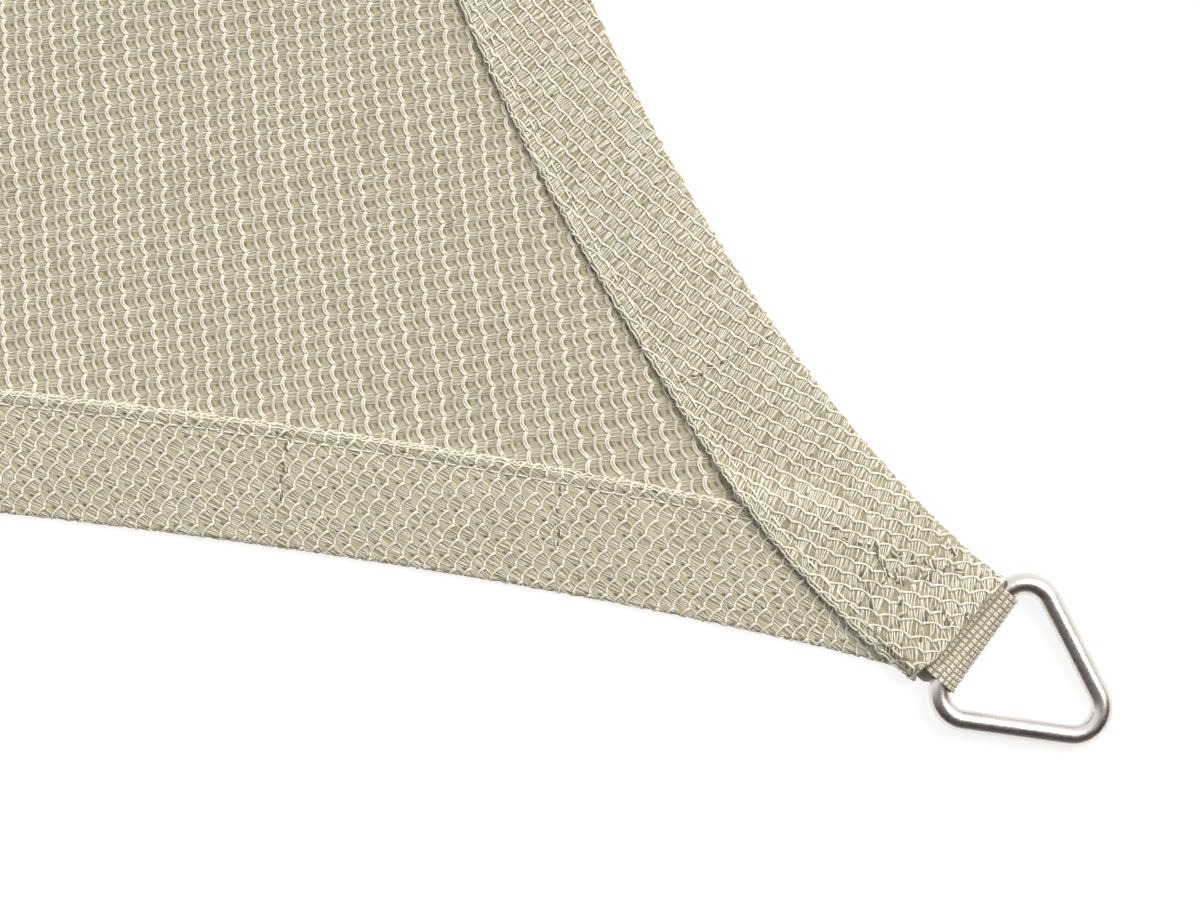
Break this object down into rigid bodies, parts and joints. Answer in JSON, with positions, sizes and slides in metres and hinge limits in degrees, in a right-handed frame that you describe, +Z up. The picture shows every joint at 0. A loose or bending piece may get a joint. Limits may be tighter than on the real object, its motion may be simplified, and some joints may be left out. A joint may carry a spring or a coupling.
{
  "type": "shade sail",
  "caption": "Flat-lying rectangular knitted shade sail with curved-in hemmed edges and, at every corner, a triangular wire ring held in a sewn webbing loop.",
  "frame": {"origin": "middle of the sail's underside as it lies flat, midway between the rings both ways", "axes": "+X along the long edges, +Y along the short edges, +Z up from the surface it lies on, out of the side its hems are folded onto"},
  "size_m": [2.9998, 2, 0.0109],
  "materials": {
    "knit_cloth": "knitted tape and thread, matte, beige",
    "webbing": "ribbed woven webbing, matte, cream",
    "ring_steel": "satin stainless steel wire"
  },
  "bodies": {
    "root": {"sail_cloth": "knit_cloth", "strap_low_right": "webbing", "strap_low_left": "webbing", "strap_high_right": "webbing", "strap_high_left": "webbing", "ring_low_right": "ring_steel", "ring_low_left": "ring_steel", "ring_high_right": "ring_steel", "ring_high_left": "ring_steel"}
  },
  "joints": []
}
